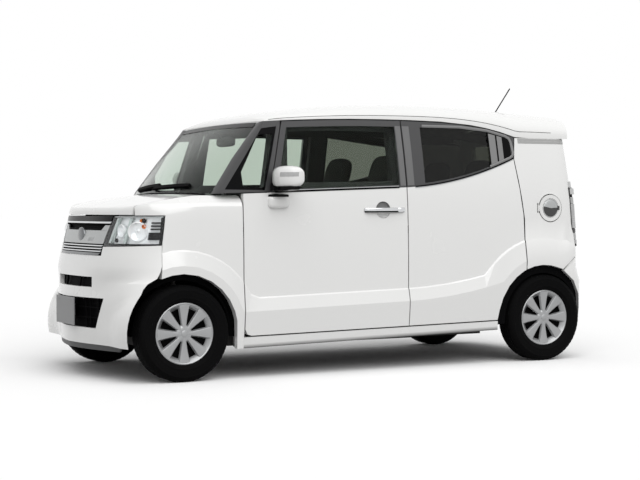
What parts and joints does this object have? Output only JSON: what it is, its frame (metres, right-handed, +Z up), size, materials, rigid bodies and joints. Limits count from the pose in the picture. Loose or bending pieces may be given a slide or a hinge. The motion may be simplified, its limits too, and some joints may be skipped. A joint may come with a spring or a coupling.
{
  "type": "kei car",
  "caption": "Tall white kei car with hinged front and rear doors, a hood, a tailgate, a round fuel flap, a furnished cabin and steered front wheels on full covers.",
  "frame": {"origin": "middle of the bounding box's footprint, on the ground under the tyres", "axes": "+X forward, +Y to the car's left, +Z up"},
  "size_m": [3.395, 1.7718, 1.8184],
  "materials": {
    "paint_white": "gloss",
    "trim_dark": "satin",
    "trim_black": "gloss",
    "chassis": "matte",
    "glass_clear": "gloss",
    "glass_dark": "gloss",
    "lamp_clear": "gloss",
    "lamp_red": "gloss",
    "seat_cloth": "matte",
    "rubber": "matte",
    "alloy": "satin",
    "steel": "satin",
    "chrome": "gloss",
    "plate": "satin",
    "iron": "matte"
  },
  "bodies": {
    "body": {"underbody": "chassis", "wheel_liners": "trim_dark", "side_sills": "paint_white", "cabin_frame": "chassis", "windscreen_posts": "trim_dark", "roof": "paint_white", "front_fender_left": "paint_white", "front_fender_right": "paint_white", "rear_quarter_left": "paint_white", "rear_quarter_right": "paint_white", "front_bumper": "paint_white", "rear_bumper": "paint_white", "grille": "trim_black", "headlamps": "lamp_clear", "tail_lamps": "lamp_red", "cowl": "trim_dark", "fixed_glass": "glass_clear", "front_plate": "plate", "dashboard": "trim_dark", "front_seats": "seat_cloth", "rear_seat": "seat_cloth", "engine_block": "iron", "front_suspension": "chassis", "rear_axle": "chassis", "exhaust": "steel", "fuel_tank": "chassis", "antenna": "trim_dark", "wipers": "trim_dark"},
    "hood": {"hood": "paint_white"},
    "tailgate": {"tailgate": "paint_white", "tailgate_glass": "glass_dark", "rear_plate": "plate"},
    "fuel_flap": {"fuel_flap": "paint_white"},
    "steering_wheel": {"steering_wheel": "trim_black"},
    "knuckle_left": {"knuckle_left": "iron"},
    "knuckle_right": {"knuckle_right": "iron"},
    "wheel_front_left": {"tyre_front_left": "rubber", "wheel_front_left": "alloy"},
    "wheel_front_right": {"tyre_front_right": "rubber", "wheel_front_right": "alloy"},
    "wheel_rear_left": {"tyre_rear_left": "rubber", "wheel_rear_left": "alloy"},
    "wheel_rear_right": {"tyre_rear_right": "rubber", "wheel_rear_right": "alloy"},
    "front_door_left": {"front_door_left": "paint_white", "front_door_glass_left": "glass_clear", "mirror_left": "paint_white", "door_handle_left": "chrome"},
    "front_door_right": {"front_door_right": "paint_white", "front_door_glass_right": "glass_clear", "mirror_right": "paint_white", "door_handle_right": "chrome"},
    "rear_door_left": {"rear_door_left": "paint_white", "rear_door_glass_left": "glass_dark"},
    "rear_door_right": {"rear_door_right": "paint_white", "rear_door_glass_right": "glass_dark"}
  },
  "joints": [
    {"name": "front_door_left_hinge", "type": "hinge", "parent": "body", "child": "front_door_left", "pos_m": [0.7885, 0.6935, 0.47], "axis": [0, 0, -1], "range_deg": [0, 68]},
    {"name": "rear_door_left_hinge", "type": "hinge", "parent": "body", "child": "rear_door_left", "pos_m": [-0.32975, 0.6935, 0.47], "axis": [0, 0, -1], "range_deg": [0, 75]},
    {"name": "front_door_right_hinge", "type": "hinge", "parent": "body", "child": "front_door_right", "pos_m": [0.7885, -0.6935, 0.47], "axis": [0, 0, 1], "range_deg": [0, 68]},
    {"name": "rear_door_right_hinge", "type": "hinge", "parent": "body", "child": "rear_door_right", "pos_m": [-0.32975, -0.6935, 0.47], "axis": [0, 0, 1], "range_deg": [0, 75]},
    {"name": "hood_hinge", "type": "hinge", "parent": "body", "child": "hood", "pos_m": [1.0155, 0, 1.092], "axis": [0, -1, 0], "range_deg": [0, 55]},
    {"name": "tailgate_hinge", "type": "hinge", "parent": "body", "child": "tailgate", "pos_m": [-1.572, 0, 1.57134], "axis": [0, 1, 0], "range_deg": [0, 80]},
    {"name": "fuel_flap_hinge", "type": "hinge", "parent": "body", "child": "fuel_flap", "pos_m": [-1.2575, 0.70088, 0.988], "axis": [0, 0, -1], "range_deg": [0, 90]},
    {"name": "steering_wheel_turn", "type": "hinge", "parent": "body", "child": "steering_wheel", "pos_m": [0.5025, -0.33, 0.955], "axis": [-0.9135, 0, 0.4067], "range_deg": [-540, 540]},
    {"name": "steer_left", "type": "hinge", "parent": "body", "child": "knuckle_left", "pos_m": [1.2225, 0.59, 0.196], "axis": [0, -0.1276, 0.9918], "range_deg": [-35, 35]},
    {"name": "steer_right", "type": "hinge", "parent": "body", "child": "knuckle_right", "pos_m": [1.2225, -0.59, 0.196], "axis": [0, 0.1276, 0.9918], "range_deg": [-35, 35]},
    {"name": "spin_front_left", "type": "hinge", "parent": "knuckle_left", "child": "wheel_front_left", "pos_m": [1.2225, 0.648, 0.2785], "axis": [0, 1, 0], "continuous": true},
    {"name": "spin_front_right", "type": "hinge", "parent": "knuckle_right", "child": "wheel_front_right", "pos_m": [1.2225, -0.648, 0.2785], "axis": [0, 1, 0], "continuous": true},
    {"name": "spin_rear_left", "type": "hinge", "parent": "body", "child": "wheel_rear_left", "pos_m": [-1.2975, 0.648, 0.2785], "axis": [0, 1, 0], "continuous": true},
    {"name": "spin_rear_right", "type": "hinge", "parent": "body", "child": "wheel_rear_right", "pos_m": [-1.2975, -0.648, 0.2785], "axis": [0, 1, 0], "continuous": true}
  ],
  "couplings": [
    {"joint": "steer_left", "follows": "steering_wheel_turn", "ratio": 0.064815},
    {"joint": "steer_right", "follows": "steering_wheel_turn", "ratio": 0.064815}
  ]
}
